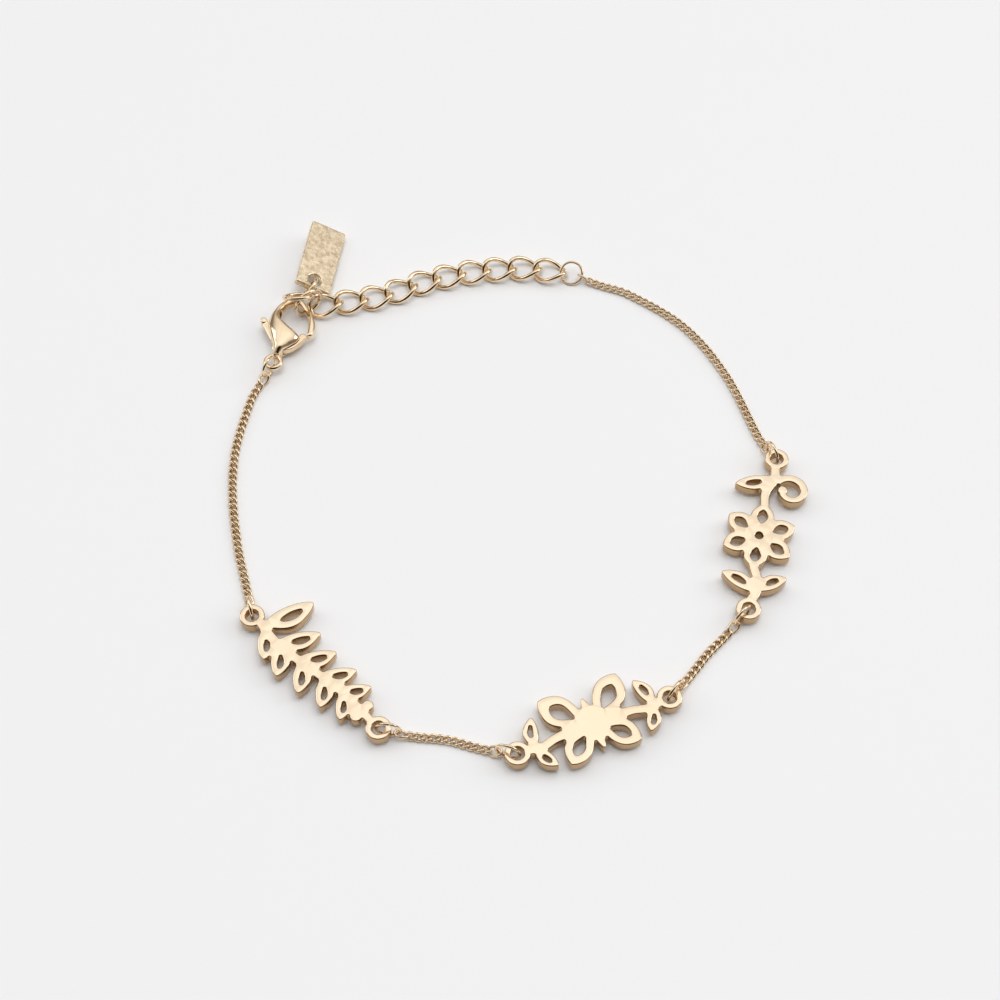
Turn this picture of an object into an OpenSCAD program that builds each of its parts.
/* [Openwork plates] */
// First plate, from eyelet centre to eyelet centre
first_len = 21.4; // [17:0.1:25]
// Second plate, from eyelet centre to eyelet centre
second_len = 19; // [16:0.1:23]
// Third plate, from eyelet centre to eyelet centre
third_len = 22.2; // [18:0.1:26]
// Height of the tallest stroke on a plate
plate_height = 9.6; // [8:0.1:11]
// Thickness of the plates
plate_thick = 1.3; // [0.9:0.1:1.5]
// Width of a plate's main strokes
stroke_width = 1.35; // [1.1:0.05:1.6]
// Radius that softens the inner and outer corners of the openwork
corner_radius = 0.22; // [0.1:0.02:0.3]
// Outer diameter of a plate's eyelets
eyelet_od = 3; // [2.8:0.1:3.2]
// Hole through a plate's eyelets
eyelet_hole = 1.6; // [1.4:0.1:1.8]

/* [Fine chain] */
// Width of the fine curb chain
fine_width = 1.2; // [1.1:0.02:1.4]
// Wire of the fine curb chain
fine_wire = 0.26; // [0.2:0.01:0.27]
// Longest pitch from one fine link to the next
fine_pitch = 0.93; // [0.9:0.01:1]
// Turn of a fine link's ends out of its flat middle, in degrees
fine_turn = 55; // [50:1:60]
// Half length of the untwisted link at each end of a strand
end_link_reach = 0.88; // [0.86:0.01:0.95]
// Width of the untwisted link at each end of a strand
end_link_width = 1.44; // [1.38:0.01:1.5]

/* [Jump rings] */
// Outer diameter of the rings in the plates' and the clasp's eyelets
ring_od = 3.2; // [3:0.05:3.6]
// Wire of those rings
ring_wire = 0.4; // [0.3:0.02:0.45]
// Outer diameter of the two large rings at the clasp's hook
hook_ring_od = 4.4; // [4.3:0.05:4.5]
// Wire of the two large rings
hook_ring_wire = 0.5; // [0.44:0.02:0.54]
// Outer diameter of the ring that carries the tag
tag_ring_od = 3.62; // [3.5:0.02:3.7]
// Wire of the ring that carries the tag
tag_ring_wire = 0.42; // [0.36:0.02:0.46]

/* [Extender] */
// Number of curb links in the extender
extender_count = 10; // [6:1:12]
// Width of an extender link
extender_width = 3.9; // [3.6:0.05:4.1]
// Wire of an extender link
extender_wire = 0.58; // [0.48:0.02:0.62]
// Play between two extender links
extender_play = 0.3; // [0.2:0.02:0.5]
// Turn of an extender link's ends, in degrees
extender_turn = 42; // [36:1:50]
// Outer diameter of the ring between extender and fine chain
extender_ring_od = 3.3; // [3:0.05:3.6]
// Wire of that ring
extender_ring_wire = 0.34; // [0.28:0.02:0.4]

/* [Clasp] */
// Length of the clasp from the middle of its base eyelet to the top of its hook
clasp_len = 10.8; // [10:0.1:12]
// Width of the clasp from the shoulder to the hook
clasp_width = 6; // [5.6:0.1:6.6]
// Thickness of the clasp's housing
clasp_thick = 2.9; // [2.7:0.05:3.2]
// Middle radius of the clasp's base eyelet
base_eye_radius = 1; // [0.9:0.02:1.1]
// Wire of the clasp's base eyelet
base_eye_wire = 0.66; // [0.55:0.02:0.75]
// Thickness of the lever
lever_thick = 0.9; // [0.7:0.05:1.1]
// Gap between the lever and each cheek of the housing
lever_gap = 0.1; // [0.06:0.01:0.15]
// Diameter of the rivet
rivet_dia = 0.7; // [0.5:0.02:0.8]
// Radial play of the lever on the rivet
rivet_play = 0.05; // [0.02:0.01:0.08]

/* [Tag] */
// Length of the tag
tag_len = 10.8; // [9:0.1:13]
// Width of the tag
tag_width = 4.9; // [4:0.1:5.4]
// Thickness of the tag
tag_thick = 1; // [0.8:0.05:1.05]
// Roll of the tag where it lies on its right edge, in degrees
tag_roll = 26; // [22:1:30]
// Hole through the tag
tag_hole = 1.84; // [1.76:0.04:2]
// Distance of the hole's middle from the tag's lower end
tag_hole_inset = 1.3; // [1.26:0.02:1.36]

/* [Hidden] */
// Brings the middle of the finished bracelet over the origin
centring = [-1.98, -3.33, 0];
gold = "wheat";
fine_sides = 5;
fine_steps = 10;
extender_sides = 6;
extender_steps = 16;
clasp_sides = 16;

// Middles and headings of the three plates on the surface
first_mid = [-21.7, -24.9];
first_heading = -43.4;
second_mid = [10.8, -31.9];
second_heading = 21.9;
third_mid = [32.2, -5.8];
third_heading = 76.6;

// Middle of the clasp's base eyelet and the way that its hook points
clasp_at = [-29.6, 20.5];
clasp_heading = 75.4;
clasp_ring_heading = -118;

// Routes of the chains between their rings: a few points chosen along each
route_left = [[-32.5, 14], [-33.6, 7.5], [-33.5, 1], [-32.2, -7]];
route_lower = [[-6, -33.1]];
route_lower_right = [[24.6, -21.9]];
route_right = [[17.4, 32.8], [24.5, 27.2], [29.4, 19.4], [32.8, 9.8]];
route_extender = [[-15.85, 32.1], [-9.65, 34.7], [-3.3, 36.3], [3.3, 36.85], [6.8, 36.4]];

// Rings at the hook: their middles in the clasp's own directions, as shares of its length and width with a
// height, then the lean and heading of each ring's axis
hook_ring_share = [0.9429, -0.2675];
hook_ring_z = 2.2;
hook_ring_axis = [88, 129];
side_ring_share = [0.9315, -0.0627];
side_ring_z = 3.15;
side_ring_axis = [42, 95];

// Steps from the hook ring's middle to those of the tag's ring, the tag's lower end and the extender's
// first link
tag_ring_step = [-0.01, 2.39];
tag_ring_z = 2.08;
tag_ring_axis = [59, 158];
tag_step = [0.22, 2.8];
tag_heading = 81;
extender_step = [2.19, 0.46];

// Clearance between a ring's wire and the end link that hangs on it, and along between two fine links
chain_gap = 0.2;
fine_play = 0.08;
// Clearance between a plate and the ring's wire that passes under it, and between the clasp and the surface
plate_clear = 0.2;
clasp_clear = 0.03;
// Clearance between the rivet and its holes in the housing, across
rivet_clear = 0.04;
// How far a strand runs straight from its ring, how soon it comes down to its own height, and that height
lead_run = 2.4;
lead_drop = 2.2;
fine_rise = 0.37;
// Slope of an end link down from a ring that stands, and from one that lies
ring_slope = 30;
lying_slope = 22;
// Height and lean of the ring after the extender
extender_ring_z = 1;
extender_ring_lean = 33;
// How much the first link of the extender is lifted by the hook ring
first_link_lift = 0.166;
// How far apart the points lie that give a strand's and the extender's direction
fine_look = 0.2;
extender_look = 0.5;

// Sizes that follow from the named ones
upright_mid = ring_od / 2 - ring_wire;
lying_mid = extender_ring_od / 2 - extender_ring_wire;
plate_rest = ring_wire + plate_clear;
eyelet_seat = (eyelet_od + eyelet_hole) / 4;
clasp_mid_z = clasp_thick / 2 + clasp_clear;
fine_half_width = (fine_width - fine_wire) / 2;
end_half_width = (end_link_width - fine_wire) / 2;
link_in = end_link_reach - chain_gap - fine_wire / 2;
extender_half_width = (extender_width - extender_wire) / 2;
// A link of the extender lies with its turned ends on the surface
lying_share = 0.4;
extender_rise = extender_half_width * lying_share + extender_wire / 2;

// Middles of the rings at the hook, the lower end of the tag and the extender's whole route
function by_clasp(share) =
    clasp_at
    + share.x * clasp_len * [cos(clasp_heading), sin(clasp_heading)]
    + share.y * clasp_width * [-sin(clasp_heading), cos(clasp_heading)];
hook_ring_at = by_clasp(hook_ring_share);
side_ring_at = by_clasp(side_ring_share);
tag_ring_at = hook_ring_at + tag_ring_step;
tag_at = hook_ring_at + tag_step;
extender_route = concat([hook_ring_at + extender_step], route_extender);

function unit(v) = v / norm(v);
function flat_dir(angle) = [cos(angle), sin(angle)];
function angle_of(v) = atan2(v.y, v.x);

// A smooth curve through chosen points, whose middle points each follow the line between their neighbours
function between(a, b, from, to, t) =
    let (reach = norm(b - a))
    (2 * t * t * t - 3 * t * t + 1) * a + (t * t * t - 2 * t * t + t) * reach * from
    + (3 * t * t - 2 * t * t * t) * b + (t * t * t - t * t) * reach * to;
function way(points, i) = unit(points[min(i + 1, len(points) - 1)] - points[max(i - 1, 0)]);
function smooth(points, steps) =
    [for (i = [0 : len(points) - 2], j = [0 : steps - 1])
        between(points[i], points[i + 1], way(points, i), way(points, i + 1), j / steps),
     points[len(points) - 1]];

// Distance travelled at each point of a line, and the place at a distance
function travelled(line) =
    let (last = len(line) - 1)
    [for (i = 0, s = 0; i <= last; s = s + norm(line[min(i + 1, last)] - line[i]), i = i + 1) s];
function place_at(line, run, s) =
    [for (axis = [0 : 1]) lookup(s, [for (i = [0 : len(line) - 1]) [run[i], line[i][axis]]])];

// A link's middle line: an oval whose two ends are turned about its length, ends being the turns at its back
// and its front. A fullness below 1 squares the oval a little
link_fullness = 0.85;
function link_point(reach, half_width, ends, q) =
    let (
        y = half_width * sign(sin(q)) * pow(abs(sin(q)), link_fullness),
        f = (ends[0] + ends[1] + (ends[1] - ends[0]) * cos(q)) / 2
    )
    [reach * cos(q), y * cos(f), y * sin(f)];
// Half the arc that gives the wire's direction at a point of that line
look_angle = 3;
function link_section(reach, half_width, ends, wire, q, sides) =
    let (
        middle = link_point(reach, half_width, ends, q),
        ahead = link_point(reach, half_width, ends, q + look_angle),
        behind = link_point(reach, half_width, ends, q - look_angle),
        along = unit(ahead - behind),
        out = unit(middle - (middle * along) * along),
        side = cross(along, out)
    )
    [for (j = [0 : sides - 1])
        let (turn = 360 * j / sides)
        middle + wire / 2 * (cos(turn) * out + sin(turn) * side)];
function link_points(reach, half_width, ends, wire, steps, sides) =
    [for (i = [0 : steps - 1])
        let (q = 360 * (i + 0.5) / steps)
        each link_section(reach, half_width, ends, wire, q, sides)];
function link_faces(steps, sides, first) =
    [for (i = [0 : steps - 1], j = [0 : sides - 1])
        let (
            next = (i + 1) % steps,
            turned = (j + 1) % sides,
            a = first + i * sides + j,
            b = first + i * sides + turned,
            c = first + next * sides + turned,
            d = first + next * sides + j
        )
        each [[a, b, c], [a, c, d]]];

// A link's points laid at a place, along a direction, level across it
function laid(points, at, along) =
    let (across = unit([-along.y, along.x, 0]), up = cross(along, across))
    [for (p = points) at + p.x * along + p.y * across + p.z * up];

// Middle and outward heading of the ring in a plate's eyelet; side is -1 at its left and 1 at its right
function eyelet_at(mid, heading, length, side) = mid + side * length / 2 * flat_dir(heading);
function plate_ring_heading(mid, heading, length, side, toward) =
    angle_of(toward - eyelet_at(mid, heading, length, side));
function plate_ring_at(mid, heading, length, side, toward) =
    eyelet_at(mid, heading, length, side)
    + eyelet_seat * flat_dir(plate_ring_heading(mid, heading, length, side, toward));

// Where a strand starts: middle of the ring, heading away from it, and whether the ring stands or lies
first_left = [
    plate_ring_at(first_mid, first_heading, first_len, -1, route_left[3]),
    plate_ring_heading(first_mid, first_heading, first_len, -1, route_left[3])];
first_right = [
    plate_ring_at(first_mid, first_heading, first_len, 1, route_lower[0]),
    plate_ring_heading(first_mid, first_heading, first_len, 1, route_lower[0])];
second_left = [
    plate_ring_at(second_mid, second_heading, second_len, -1, route_lower[0]),
    plate_ring_heading(second_mid, second_heading, second_len, -1, route_lower[0])];
second_right = [
    plate_ring_at(second_mid, second_heading, second_len, 1, route_lower_right[0]),
    plate_ring_heading(second_mid, second_heading, second_len, 1, route_lower_right[0])];
third_left = [
    plate_ring_at(third_mid, third_heading, third_len, -1, route_lower_right[0]),
    plate_ring_heading(third_mid, third_heading, third_len, -1, route_lower_right[0])];
third_right = [
    plate_ring_at(third_mid, third_heading, third_len, 1, route_right[3]),
    plate_ring_heading(third_mid, third_heading, third_len, 1, route_right[3])];
clasp_base = [clasp_at + base_eye_radius * flat_dir(clasp_ring_heading), clasp_ring_heading];

// Extender: its middle line, the pitch and half length of its links, and the ring after the last one
extender_line = smooth(extender_route, 12);
extender_run = travelled(extender_line);
extender_length = extender_run[len(extender_run) - 1];
extender_pitch = extender_length / (extender_count - 1);
extender_reach = (extender_pitch + extender_wire + extender_play) / 2;
extender_end_way = way(extender_line, len(extender_line) - 1);
extender_ring_mid = (extender_ring_od - extender_ring_wire) / 2;
extender_ring_at = extender_route[len(extender_route) - 1] + extender_end_way
    * (extender_reach + extender_ring_mid - (extender_wire + extender_ring_wire) / 2 - extender_play);
extender_end = [extender_ring_at, angle_of(route_right[0] - extender_ring_at)];

// A whole strand of fine chain as one skin: its two end links with the turned links between them. It starts
// at a ring that stands, or at one that lies, and ends at a ring that stands
module strand(start, start_mid, start_lies, route, end, end_mid) {
    from_way = flat_dir(start[1]);
    to_way = flat_dir(end[1]);
    start_off = start_mid + link_in;
    end_off = end_mid + link_in;
    start_flat = start_lies ? start_mid + link_in * cos(lying_slope) : start_off * cos(ring_slope);
    end_flat = end_off * cos(ring_slope);
    start_z = start_lies
        ? extender_ring_z - link_in * sin(lying_slope)
        : ring_od / 2 - start_off * sin(ring_slope);
    end_z = ring_od / 2 - end_off * sin(ring_slope);
    line = smooth(concat(
        [start[0] + start_flat * from_way, start[0] + (start_flat + lead_run) * from_way],
        route,
        [end[0] + (end_flat + lead_run) * to_way, end[0] + end_flat * to_way]), 14);
    run = travelled(line);
    length = run[len(run) - 1];
    function height(s) = fine_rise
        + (start_z - fine_rise) * pow(max(0, 1 - s / lead_drop), 2)
        + (end_z - fine_rise) * pow(max(0, 1 - (length - s) / lead_drop), 2);
    function spot(s) = let (p = place_at(line, run, s)) [p.x, p.y, height(s)];
    first_gap = link_in + fine_pitch / 2 + fine_play;
    count = ceil((length - 2 * first_gap) / fine_pitch) + 1;
    pitch = (length - 2 * first_gap) / (count - 1);
    reach = (pitch + fine_wire) / 2 + fine_play;
    function fine_link(half, half_width, ends) =
        link_points(half, half_width, ends, fine_wire, fine_steps, fine_sides);
    start_turn = start_lies ? extender_ring_lean - 90 : 0;
    start_link = fine_link(end_link_reach, end_half_width, [start_turn, -fine_turn]);
    turned = fine_link(reach, fine_half_width, [fine_turn, -fine_turn]);
    end_link = fine_link(end_link_reach, end_half_width, [fine_turn, 0]);
    points = [
        each laid(start_link, spot(0), unit(spot(fine_look / 2) - spot(0))),
        for (i = [0 : count - 1])
            let (s = first_gap + i * pitch)
            each laid(turned, spot(s), unit(spot(s + fine_look) - spot(s - fine_look))),
        each laid(end_link, spot(length), unit(spot(length) - spot(length - fine_look / 2)))];
    link_size = fine_steps * fine_sides;
    faces = [for (k = [0 : count + 1]) each link_faces(fine_steps, fine_sides, k * link_size)];
    color(gold)
        polyhedron(points, faces);
}

// A round ring of wire; its axis has a lean from upright and the heading that it leans toward
module ring(at, od, wire, axis) {
    color(gold)
        translate(at)
            rotate([0, axis[0], axis[1]])
                rotate_extrude($fn = 96)
                    translate([(od - wire) / 2, 0])
                        circle(d = wire, $fn = 32);
}

// A ring that stands on the surface, its plane along a heading
module standing_ring(spot) {
    ring([spot[0].x, spot[0].y, ring_od / 2], ring_od, ring_wire, [90, spot[1] + 90]);
}

// One of the two large rings at the clasp's hook
module hook_side_ring(at, height, axis) {
    ring([at.x, at.y, height], hook_ring_od, hook_ring_wire, axis);
}

// The ring between the extender and the fine chain, its far side raised
module extender_far_ring() {
    ring(
        [extender_ring_at.x, extender_ring_at.y, extender_ring_z],
        extender_ring_od, extender_ring_wire, [extender_ring_lean, extender_end[1] - 90]);
}

// One link of the extender, laid along its line
module extender_link(i) {
    s = i * extender_pitch;
    at = place_at(extender_line, extender_run, s);
    ahead = place_at(extender_line, extender_run, min(s + extender_look, extender_length));
    behind = place_at(extender_line, extender_run, max(s - extender_look, 0));
    along = unit(ahead - behind);
    rise = extender_rise + (i == 0 ? first_link_lift : 0);
    points = link_points(
        extender_reach, extender_half_width, [extender_turn, -extender_turn],
        extender_wire, extender_steps, extender_sides);
    color(gold)
        polyhedron(
            laid(points, [at.x, at.y, rise], [along.x, along.y, 0]),
            link_faces(extender_steps, extender_sides, 0));
}

// A stroke of varying width with round ends; rows are length and height as shares of the plate, and width
module stroke(rows, length, steps = 5) {
    line = smooth([for (r = rows) [r[0] * length, r[1] * plate_height, r[2] * stroke_width]], steps);
    last = len(line) - 1;
    function edge(i, side) =
        let (a = line[max(i - 1, 0)], b = line[min(i + 1, last)], along = unit([b.x - a.x, b.y - a.y]))
        [line[i].x - side * along.y * line[i].z / 2, line[i].y + side * along.x * line[i].z / 2];
    for (i = [0 : last - 1])
        polygon([edge(i, 1), edge(i, -1), edge(i + 1, -1), edge(i + 1, 1)]);
    for (i = [0, last])
        translate([line[i].x, line[i].y])
            circle(d = line[i].z, $fn = 20);
}

// A curved leaf: foot, tip, width, the slit's share of that width, how far its middle bows to the left, and
// how far its widest place lies toward the tip
module leaf(foot, tip, width, slit, bow = 0, belly = 1) {
    span = tip - foot;
    reach = norm(span);
    along = span / reach;
    left = [-along.y, along.x];
    function rim(t, side, w, start, end) =
        let (s = start + (end - start) * t)
        foot + along * reach * s
        + left * (bow * sin(180 * s) + side * w / 2 * pow(sin(180 * pow(t, belly)), 0.75));
    difference() {
        polygon([
            for (k = [0 : 20]) rim(k / 20, 1, width, 0, 1),
            for (k = [19 : -1 : 1]) rim(k / 20, -1, width, 0, 1)]);
        if (slit > 0)
            polygon([
                for (k = [0 : 14]) rim(k / 14, 1, width * slit, 0.3, 0.78),
                for (k = [13 : -1 : 1]) rim(k / 14, -1, width * slit, 0.3, 0.78)]);
    }
}

// A scroll that winds in on its middle and ends in a ball
module volute(middle, outer, inner, from_angle, turn, thick, thin) {
    steps = 36;
    function spot(t) = middle + outer * pow(inner / outer, t) * flat_dir(from_angle + turn * t);
    function out(t) = flat_dir(from_angle + turn * t) * (thick + (thin - thick) * t) / 2;
    for (k = [0 : steps - 1])
        let (t = k / steps, u = (k + 1) / steps)
        polygon([spot(t) + out(t), spot(u) + out(u), spot(u) - out(u), spot(t) - out(t)]);
    translate(spot(0))
        circle(d = thick, $fn = 24);
    translate(spot(1))
        circle(d = thin * 1.5, $fn = 24);
}

// Strokes and leaves joined, with their inner and outer corners softened
module openwork() {
    offset(r = corner_radius, $fn = 20)
        offset(r = -2 * corner_radius, $fn = 20)
            offset(r = corner_radius, $fn = 20)
                children();
}

// A plate: its openwork between two eyelets, each a round boss with a true hole
module plate(mid, heading, length) {
    color(gold)
        translate([mid.x, mid.y, plate_rest])
            rotate(heading)
                translate([-length / 2, 0, 0])
                    difference() {
                        union() {
                            linear_extrude(plate_thick)
                                children();
                            for (x = [0, length])
                                translate([x, 0, 0])
                                    cylinder(h = plate_thick, d = eyelet_od, $fn = 64);
                        }
                        for (x = [0, length])
                            translate([x, 0, -1])
                                cylinder(h = plate_thick + 2, d = eyelet_hole, $fn = 64);
                    }
}

// First plate: a laurel branch with a tall first leaf, paired leaves and two berries
module first_openwork() {
    len = first_len;
    h = plate_height;
    stem = [
        [0.04, 0.02, 0.8], [0.2, -0.05, 0.9], [0.4, -0.03, 0.85],
        [0.6, 0.02, 0.8], [0.8, 0.03, 0.75], [0.96, 0, 0.75]];
    line = smooth([for (r = stem) [r[0] * len, r[1] * h]], 10);
    function at(share) = line[round(share * (len(line) - 1))];
    // Foot along the stem, run and rise of the tip, width
    upper = [
        [0.06, 0.1, 0.66, 0.3], [0.22, 0.14, 0.47, 0.25], [0.38, 0.13, 0.4, 0.235],
        [0.53, 0.13, 0.36, 0.225], [0.67, 0.12, 0.3, 0.21]];
    lower = [
        [0.08, 0.15, -0.31, 0.235], [0.24, 0.14, -0.32, 0.235], [0.4, 0.14, -0.32, 0.225],
        [0.55, 0.13, -0.31, 0.22], [0.69, 0.12, -0.28, 0.2]];
    openwork() {
        stroke(stem, len);
        for (r = upper)
            leaf(at(r[0]), at(r[0]) + [r[1] * len, r[2] * h], r[3] * h, 0.34, -0.05 * h);
        for (r = lower)
            leaf(at(r[0]), at(r[0]) + [r[1] * len, r[2] * h], r[3] * h, 0.32, 0.04 * h);
        for (side = [-1, 1])
            translate(at(0.87) + [0, side * 0.1 * h])
                circle(d = 0.14 * h, $fn = 24);
    }
}

// Second plate: a pierced butterfly between two sprigs, the same on both sides
module second_openwork() {
    len = second_len;
    h = plate_height;
    openwork() {
        leaf([0.5 * len, -0.34 * h], [0.5 * len, 0.4 * h], 0.17 * h, 0);
        for (side = [0, 1])
            translate([side * len, 0])
                mirror([side, 0]) {
                    leaf([0.5 * len, 0], [0.24 * len, 0.54 * h], 0.4 * h, 0.46, 0.02 * h, 1.5);
                    leaf([0.5 * len, 0.02 * h], [0.27 * len, -0.38 * h], 0.34 * h, 0.42, -0.02 * h, 1.4);
                    stroke([[0.05, 0, 0.85], [0.14, -0.04, 0.85], [0.25, 0.01, 0.85], [0.4, 0.02, 1.1]], len);
                    leaf([0.11 * len, -0.02 * h], [0.165 * len, 0.38 * h], 0.19 * h, 0.34, 0.03 * h);
                    leaf([0.11 * len, -0.02 * h], [0.2 * len, -0.33 * h], 0.18 * h, 0.34, -0.02 * h);
                }
    }
}

// Third plate: a pierced flower between curved leaves, with a hanging tendril
module third_openwork() {
    len = third_len;
    h = plate_height;
    petals = 6;
    openwork() {
        translate([0.47 * len, 0.04 * h]) {
            for (k = [0 : petals - 1])
                rotate(360 * k / petals)
                    leaf([0.05 * h, 0], [0.49 * h, 0], 0.3 * h, 0.42, 0, 1.2);
            difference() {
                circle(d = 0.27 * h, $fn = 32);
                circle(d = 0.1 * h, $fn = 24);
            }
        }
        stroke([[0.05, 0, 0.85], [0.11, -0.05, 0.9], [0.19, -0.04, 0.85], [0.275, 0.04, 0.8]], len);
        stroke([[0.67, 0.04, 0.8], [0.76, 0.06, 0.85], [0.86, -0.02, 0.9], [0.95, 0, 0.85]], len);
        leaf([0.11 * len, -0.06 * h], [0.2 * len, 0.42 * h], 0.22 * h, 0.34, -0.03 * h);
        leaf([0.12 * len, -0.06 * h], [0.235 * len, -0.4 * h], 0.21 * h, 0.34, 0.03 * h);
        leaf([0.87 * len, -0.02 * h], [0.78 * len, 0.47 * h], 0.22 * h, 0.34, 0.03 * h);
        volute([0.8 * len, -0.26 * h], 0.22 * h, 0.11 * h, 55, -320, 0.11 * h, 0.085 * h);
    }
}

// Lobster clasp. Rows run from its neck round the hook to the tip: left edge and right edge, each as a share
// of the clasp's length and of its width, then the half height as a share of half the clasp's thickness
clasp_rows = [
    [0.097, -0.055, 0.097, 0.083, 0.5],
    [0.2, -0.125, 0.173, 0.153, 0.84],
    [0.296, -0.235, 0.235, 0.253, 0.9],
    [0.407, -0.355, 0.332, 0.38, 1],
    [0.51, -0.425, 0.412, 0.375, 1],
    [0.618, -0.445, 0.495, 0.117, 0.93],
    [0.694, -0.43, 0.574, -0.125, 0.8],
    [0.778, -0.39, 0.694, -0.233, 0.62],
    [0.87, -0.325, 0.806, -0.2, 0.52],
    [0.958, -0.192, 0.88, -0.1, 0.47],
    [1, -0.017, 0.917, 0, 0.455],
    [0.958, 0.158, 0.889, 0.1, 0.44],
    [0.88, 0.3, 0.829, 0.217, 0.43],
    [0.796, 0.425, 0.755, 0.325, 0.415],
    [0.704, 0.54, 0.676, 0.408, 0.42],
    [0.611, 0.605, 0.597, 0.467, 0.41],
    [0.53, 0.622, 0.523, 0.497, 0.38],
    [0.462, 0.618, 0.458, 0.525, 0.29]];

// The rivet's place on the clasp, as shares of its length and width
rivet_share = [0.213, 0.017];
rivet_spot = [rivet_share.x * clasp_len, rivet_share.y * clasp_width];

// Clasp coordinates: x runs from the base eyelet to the hook's top, y to the clasp's left
module on_clasp() {
    color(gold)
        translate([clasp_at.x, clasp_at.y, clasp_mid_z])
            rotate(clasp_heading)
                children();
}

function clasp_section(row) =
    let (
        left = [row[0] * clasp_len, -row[1] * clasp_width],
        right = [row[2] * clasp_len, -row[3] * clasp_width],
        middle = (left + right) / 2,
        half = (left - right) / 2
    )
    [for (j = [0 : clasp_sides - 1])
        let (
            q = 360 * j / clasp_sides,
            wide = sign(cos(q)) * pow(abs(cos(q)), 0.8),
            high = sign(sin(q)) * pow(abs(sin(q)), 0.8)
        )
        [middle.x + half.x * wide, middle.y + half.y * wide, high * row[4] * clasp_thick / 2]];

// The room between the cheeks that the lever turns in
module lever_room() {
    near = base_eye_radius;
    far = clasp_len * 0.55;
    function ray(angle) = rivet_spot + far * flat_dir(angle);
    linear_extrude(lever_thick + 2 * lever_gap, center = true) {
        translate(rivet_spot)
            circle(near, $fn = 48);
        polygon([rivet_spot, for (angle = [-125, -80, -45, -20, -4]) ray(angle)]);
        polygon([rivet_spot, for (angle = [6, 45, 80, 115]) ray(angle)]);
    }
}

module clasp_body() {
    rows = smooth(clasp_rows, 2);
    count = len(rows);
    points = [for (row = rows) each clasp_section(row)];
    skin = [for (i = [0 : count - 2], j = [0 : clasp_sides - 1])
        let (
            a = i * clasp_sides + j,
            b = i * clasp_sides + (j + 1) % clasp_sides
        )
        each [[a, a + clasp_sides, b + clasp_sides], [a, b + clasp_sides, b]]];
    neck_end = [for (j = [0 : clasp_sides - 1]) j];
    hook_end = [for (j = [clasp_sides - 1 : -1 : 0]) (count - 1) * clasp_sides + j];
    on_clasp()
        difference() {
            union() {
                polyhedron(points, concat(skin, [neck_end, hook_end]));
                rotate_extrude($fn = 96)
                    translate([base_eye_radius, 0])
                        circle(d = base_eye_wire, $fn = 32);
            }
            lever_room();
            translate([rivet_spot.x, rivet_spot.y, -clasp_thick])
                cylinder(h = 2 * clasp_thick, d = rivet_dia + rivet_clear, $fn = 48);
        }
}

// An arm of the lever; rows are shares of the clasp's length and width, then the arm's width
module lever_arm(rows) {
    line = smooth([for (r = rows) [r[0] * clasp_len, -r[1] * clasp_width, r[2]]], 5);
    last = len(line) - 1;
    function edge(i, side) =
        let (a = line[max(i - 1, 0)], b = line[min(i + 1, last)], along = unit([b.x - a.x, b.y - a.y]))
        [line[i].x - side * along.y * line[i].z / 2, line[i].y + side * along.x * line[i].z / 2];
    polygon([for (i = [0 : last]) edge(i, 1), for (i = [last : -1 : 0]) edge(i, -1)]);
}

module clasp_lever() {
    spot = [rivet_spot.x, rivet_spot.y];
    gate_tip = [0.437 * clasp_len, -0.423 * clasp_width];
    thumb_tab = [0.553 * clasp_len, 0.548 * clasp_width];
    on_clasp()
        difference() {
            union() {
                linear_extrude(lever_thick, center = true) {
                    translate(spot)
                        circle(base_eye_radius * 0.8, $fn = 48);
                    lever_arm([[0.213, 0.05, 0.9], [0.226, 0.17, 0.9], [0.27, 0.27, 0.85],
                        [0.345, 0.355, 0.85], [0.437, 0.423, 0.85]]);
                    lever_arm([[0.213, -0.02, 0.9], [0.3, -0.14, 0.9], [0.42, -0.32, 0.95],
                        [0.5, -0.45, 0.9], [0.553, -0.548, 0.8]]);
                }
                translate([gate_tip.x, gate_tip.y, -lever_thick / 2])
                    cylinder(h = lever_thick, d = 0.95, $fn = 32);
                translate([thumb_tab.x, thumb_tab.y, -lever_thick * 0.68])
                    cylinder(h = lever_thick * 1.36, d = 0.9, $fn = 32);
            }
            translate([spot.x, spot.y, -clasp_thick])
                cylinder(h = 2 * clasp_thick, d = rivet_dia + 2 * rivet_play, $fn = 48);
        }
}

module clasp_rivet() {
    on_clasp()
        translate([rivet_spot.x, rivet_spot.y, -clasp_thick * 0.38])
            cylinder(h = clasp_thick * 0.76, d = rivet_dia, $fn = 48);
}

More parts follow.
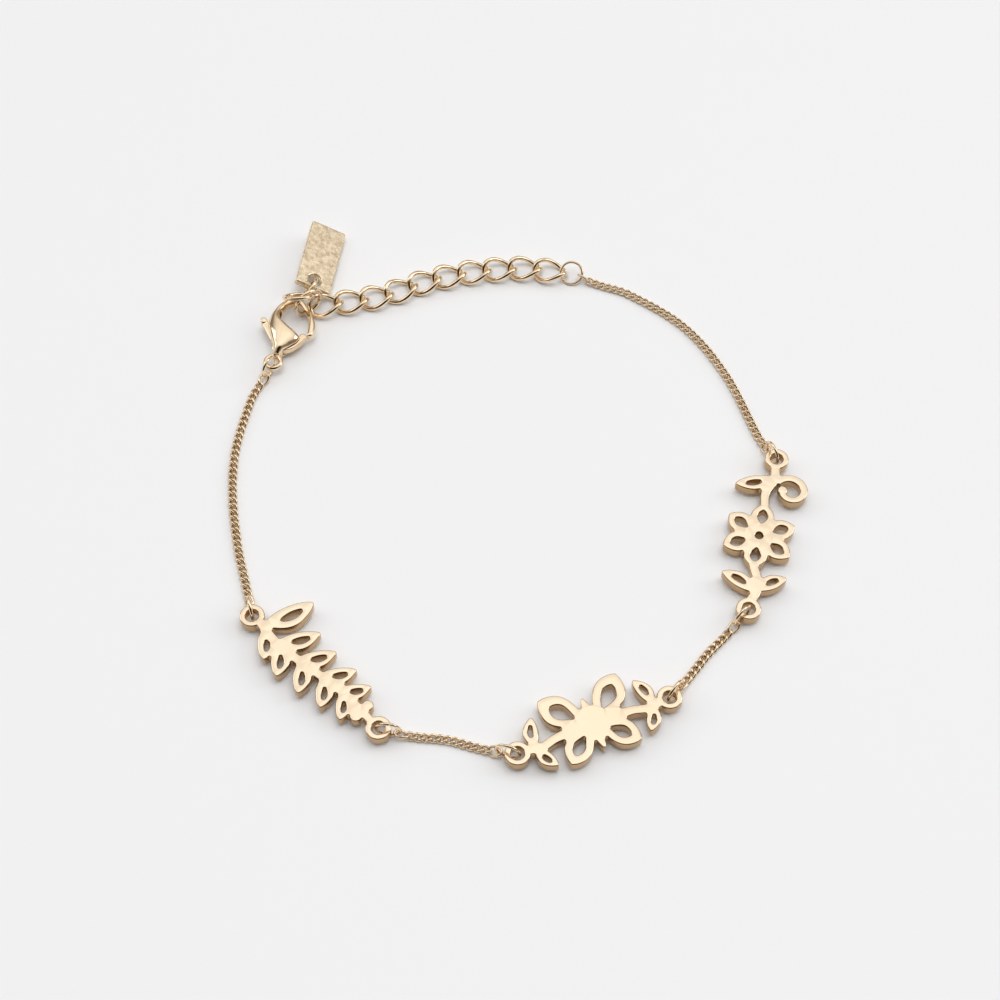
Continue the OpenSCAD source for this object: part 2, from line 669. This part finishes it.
// The bar tag, rolled onto its right edge
module tag() {
    rise = tag_width / 2 * sin(tag_roll) + tag_thick / 2 * cos(tag_roll);
    soft = 0.3;
    color(gold)
        translate([tag_at.x, tag_at.y, rise])
            rotate([0, 0, tag_heading - 90])
                rotate([0, tag_roll, 0])
                    translate([0, 0, -tag_thick / 2])
                        difference() {
                            linear_extrude(tag_thick)
                                translate([-tag_width / 2, 0])
                                    union() {
                                        translate([soft, 0])
                                            square([tag_width - 2 * soft, tag_len]);
                                        translate([0, soft])
                                            square([tag_width, tag_len - 2 * soft]);
                                        for (x = [soft, tag_width - soft], y = [soft, tag_len - soft])
                                            translate([x, y])
                                                circle(soft, $fn = 24);
                                    }
                            translate([0, tag_hole_inset, -1])
                                cylinder(h = tag_thick + 2, d = tag_hole, $fn = 64);
                        }
}

extender_names = [for (k = [1 : extender_count]) str("extender_link_", k < 10 ? "0" : "", k)];
plate_rings = [first_left, first_right, second_left, second_right, third_left, third_right];

translate(centring) {
    plate(first_mid, first_heading, first_len)  // plate_first
            first_openwork();
    plate(second_mid, second_heading, second_len)  // plate_second
            second_openwork();
    plate(third_mid, third_heading, third_len)  // plate_third
            third_openwork();
    strand(clasp_base, upright_mid, false, route_left, first_left, upright_mid);  // chain_left
    strand(first_right, upright_mid, false, route_lower, second_left, upright_mid);  // chain_lower
    strand(second_right, upright_mid, false, route_lower_right, third_left, upright_mid);  // chain_lower_right
    strand(extender_end, lying_mid, true, route_right, third_right, upright_mid);  // chain_right
    for (k = [0 : 5])
        standing_ring(plate_rings[k]);
    clasp_body();
    clasp_lever();
    clasp_rivet();
    standing_ring(clasp_base);  // clasp_ring
    hook_side_ring(hook_ring_at, hook_ring_z, hook_ring_axis);  // hook_ring
    hook_side_ring(side_ring_at, side_ring_z, side_ring_axis);  // side_ring
    ring([tag_ring_at.x, tag_ring_at.y, tag_ring_z], tag_ring_od, tag_ring_wire, tag_ring_axis);  // tag_ring
    tag();
    for (k = [0 : extender_count - 1])
        extender_link(k);
    extender_far_ring();  // extender_ring
}
